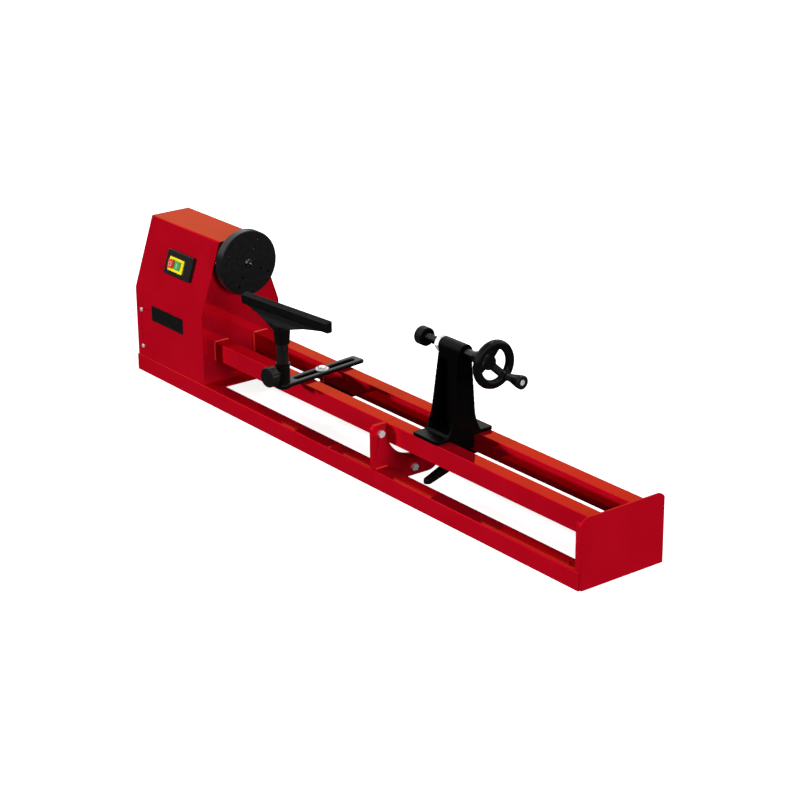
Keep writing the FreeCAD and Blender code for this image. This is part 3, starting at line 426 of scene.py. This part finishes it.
def turned_mesh(profile, centre, steps):
    """Points and faces of an (x, radius) profile turned about an axis along X."""
    points, faces = [], []
    for x, radius in profile:
        for j in range(steps):
            turn = 2 * math.pi * j / steps
            points.append(Vector((x, centre[0] + radius * math.cos(turn),
                                  centre[1] + radius * math.sin(turn))))
    for k in range(len(profile) - 1):
        for j in range(steps):
            a, b = k * steps + j, k * steps + (j + 1) % steps
            faces.append((a, a + steps, b + steps, b))
    faces.append(tuple(range(steps)))
    faces.append(tuple((len(profile) - 1) * steps + j for j in range(steps - 1, -1, -1)))
    return points, faces


def steps_between(corners, step, closed):
    """Points at an even step along a polyline."""
    path = []
    ends = corners[1:] + corners[:1] if closed else corners[1:]
    for start, end in zip(corners, ends):
        count = max(1, round((end - start).length / step))
        path += [start.lerp(end, k / count) for k in range(count)]
    return path if closed else path + [corners[-1]]


BEAD_RADIUS = 0.0023
THIN_BEAD_RADIUS = 0.0015
BEAD_STEP = 0.0011
STEPS_PER_RIPPLE = 3.0
FOOT_INSET = 0.006          # how far a foot's bead stays inside the edge of the joint plate
SHEET = 0.003               # thickness of the end plate


def weld_bead(name, corners, closed, radius=BEAD_RADIUS):
    """Rippled weld bead along a polyline, painted over."""
    path = steps_between(corners, BEAD_STEP, closed)
    radii = []
    for k, point in enumerate(path):
        ripple = 0.12 * math.cos(2 * math.pi * k / STEPS_PER_RIPPLE)
        drift = 0.18 * noise_at.noise(point * 90)
        radii.append(radius * (1 + ripple + drift))
    points, faces = tube_mesh(path, radii, 10, closed)
    piece(name, points, faces, "weld", "frame", 80)


def tube_corners(node, x):
    """Corners of a bed tube's cross-section at a station along the bed."""
    low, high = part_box(node)
    return [Vector((x, y, z)) for y, z in ((low.y, low.z), (high.y, low.z),
                                           (high.y, high.z), (low.y, high.z))]


def add_welds():
    """Beads where the tubes meet the headstock, the end plate and the joint plates."""
    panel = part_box("headstock_end_panel")[1].x
    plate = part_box("end_plate")[1].x - SHEET
    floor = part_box("base_rail_front_left")[1].z
    for side in ("front", "rear"):
        weld_bead("weld_headstock_" + side, tube_corners(f"bed_tube_{side}_left", panel), True)
        weld_bead("weld_end_" + side, tube_corners(f"bed_tube_{side}_right", plate), True)
    for half, edge in (("left", 0), ("right", 1)):
        low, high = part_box("joint_plate_" + half)
        x = (low, high)[edge].x
        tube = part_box(f"bed_tube_front_{half}")
        for side, sign in (("front", -1), ("rear", 1)):
            outer, inner = sign * (high.y - FOOT_INSET), sign * abs(tube[0].y)
            weld_bead(f"weld_foot_{half}_{side}",
                      [Vector((x, outer, floor)), Vector((x, inner, floor))], False)
            bottom = [Vector((x, sign * abs(tube[0].y), tube[0].z)),
                      Vector((x, sign * abs(tube[1].y), tube[0].z))]
            weld_bead(f"weld_tube_{half}_{side}", bottom, False, THIN_BEAD_RADIUS)


# The feed screw, from the ring of the revolving centre to the handwheel.
NOSE_RADIUS = 0.006         # inside the ring
CORE_RADIUS = 0.0070        # under the thread
SCREW_RADIUS = 0.0079       # plain length inside the barrel, before the thicker shank
HUB_RADIUS = 0.0069         # inside the hub of the handwheel
HUB_LENGTH = 0.038
BARREL_INSET = 0.011        # from the left edge of the tailstock to the mouth of its barrel
THREAD_DEPTH = 0.022        # how far into the barrel the thread goes
SHANK_DEPTH = 0.052         # how far into the barrel the shank starts
THREAD_GAP = 0.001          # between the ring and the thread
THREAD_PITCH = 0.002
THREAD_ROOT = 0.00695       # radius at its foot, a little inside the core
# Half a pitch or less to each side: (along the screw, above the foot).
THREAD_SECTION = [(-0.00092, 0.0), (-0.00015, 0.001), (0.00015, 0.001), (0.00092, 0.0)]


def thread_mesh(start, axis, turns):
    """Points and faces of a helical thread along X whose two ends run out to nothing."""
    steps = 40
    width = len(THREAD_SECTION)
    count = turns * steps + 1
    points, faces = [], []
    for k in range(count):
        turn = 2 * math.pi * k / steps
        grow = min(1.0, k / steps, (count - 1 - k) / steps)
        for shift, rise in THREAD_SECTION:
            radius = THREAD_ROOT + rise * grow
            points.append((start + THREAD_PITCH * k / steps + shift,
                           axis[0] + radius * math.cos(turn),
                           axis[1] + radius * math.sin(turn)))
    for k in range(count - 1):
        a = k * width
        for j in range(width - 1):
            faces.append((a + j, a + j + width, a + j + width + 1, a + j + 1))
        faces.append((a, a + width - 1, a + 2 * width - 1, a + width))
    faces.append(tuple(range(width)))
    faces.append(tuple((count - 1) * width + j for j in range(width - 1, -1, -1)))
    return points, faces


def add_feed_screw():
    """Feed screw with a real helical thread in place of the CAD node's plain rings."""
    low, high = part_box("tail_screw")
    axis = ((low.y + high.y) / 2, (low.z + high.z) / 2)
    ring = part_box("centre_housing")[1].x
    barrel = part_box("tailstock_body")[0].x + BARREL_INSET
    thread_end = barrel + THREAD_DEPTH
    shank_start = barrel + SHANK_DEPTH
    shank_radius = (high.y - low.y) / 2
    hub = high.x - HUB_LENGTH
    profile = [(low.x, NOSE_RADIUS), (ring, NOSE_RADIUS),
               (ring, CORE_RADIUS), (thread_end, CORE_RADIUS),
               (thread_end, SCREW_RADIUS), (shank_start, SCREW_RADIUS),
               (shank_start, shank_radius), (hub, shank_radius),
               (hub, HUB_RADIUS), (high.x, HUB_RADIUS)]
    points, faces = turned_mesh(profile, axis, 48)
    piece("feed_screw_core", points, faces, "screw", "feed_screw")
    turns = int((thread_end - ring - THREAD_GAP) / THREAD_PITCH)
    points, faces = thread_mesh(ring + THREAD_GAP, axis, turns)
    thread = piece("feed_screw_thread", points, faces, "screw", "feed_screw", 30)
    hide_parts("tail_screw")


LINE_RADIUS = 0.0006        # raised lines on the tool rest and the buttons
RING_RADIUS = 0.0042        # mark on the stop button
BAR_HALF = 0.0045           # half the height of the mark on the start button

# The top of the tool rest, seen from the axis of its post.
REST_TURN = 5.0             # its direction, from the bed's, in degrees
REST_REACH = (-0.113, 0.137)  # its two ends
REST_FACE = ((-0.0052, 0.28165), (0.0079, 0.28435))  # (towards the bed, height) of its edges


def rest_frame():
    """Axis point of the tool rest, and the directions along it and towards the bed."""
    joint = next(j for j in frame["joints"] if j["name"] == "rest_turn")
    turn = math.radians(REST_TURN)
    along = Vector((math.cos(turn), math.sin(turn), 0))
    return Vector(joint["pos_m"]), along, Vector((-along.y, along.x, 0))


def add_rest_ribs():
    """Fine ridges cast along the top of the rest."""
    axis, along, inward = rest_frame()
    (d0, z0), (d1, z1) = REST_FACE
    ribs = 8
    points, faces = [], []
    for k in range(ribs):
        share = (k + 0.5) / ribs
        middle = Vector((axis.x, axis.y, z0 + (z1 - z0) * share))
        middle += inward * (d0 + (d1 - d0) * share)
        ends = [middle + along * reach for reach in REST_REACH]
        path = steps_between(ends, 0.004, False)
        part, quads = tube_mesh(path, [LINE_RADIUS] * len(path), 8, False)
        faces += [tuple(len(points) + j for j in quad) for quad in quads]
        points += part
    piece("tool_rest_ribs", points, faces, "black_rough", "rest_top")


def top_centre(node, out):
    """Middle of the face of a node that lies furthest along a direction."""
    corners = [v.co for v in NODES[node].data.vertices]
    limit = max(c.dot(out) for c in corners) - 1e-5
    top = [c for c in corners if c.dot(out) > limit]
    return Vector([(min(c[k] for c in top) + max(c[k] for c in top)) / 2 for k in range(3)])


def add_button_marks():
    """Raised ring on the stop button and raised bar on the start button."""
    press = next(j for j in frame["joints"] if j["name"] == "stop_press")
    out = -Vector(press["axis"])
    across = Vector((1, 0, 0))
    up = out.cross(across)
    centre = top_centre("stop_button", out)
    ring = [centre + RING_RADIUS * (across * math.cos(t) + up * math.sin(t))
            for t in (2 * math.pi * k / 48 for k in range(48))]
    points, faces = tube_mesh(ring, [LINE_RADIUS] * len(ring), 8, True)
    piece("stop_mark", points, faces, "white_print", "stop")
    centre = top_centre("start_button", out)
    bar = steps_between([centre - up * BAR_HALF, centre + up * BAR_HALF], 0.001, False)
    points, faces = tube_mesh(bar, [LINE_RADIUS] * len(bar), 8, False)
    piece("start_mark", points, faces, "white_print", "start")


add_camera()
add_world()
add_floor()
add_sun("front_light", (0.65, 0.76, -0.12), 6.8, 6, False)
add_sun("top_light", (0.0, -0.45, -1), 0.7, 16, True)
add_softbox("right_light", (14.0, -1.6, 2.6), (0, 0, 0.15), 4.6, 3500)
dress_nodes()
for sheet_node in SHEET_METAL:
    soften_edges(sheet_node)
for cast_node, cell_size in CASTINGS.items():
    soften_casting(cast_node, cell_size)
add_welds()
add_feed_screw()
add_rest_ribs()
add_button_marks()
SCENE.view_settings.view_transform = "Standard"
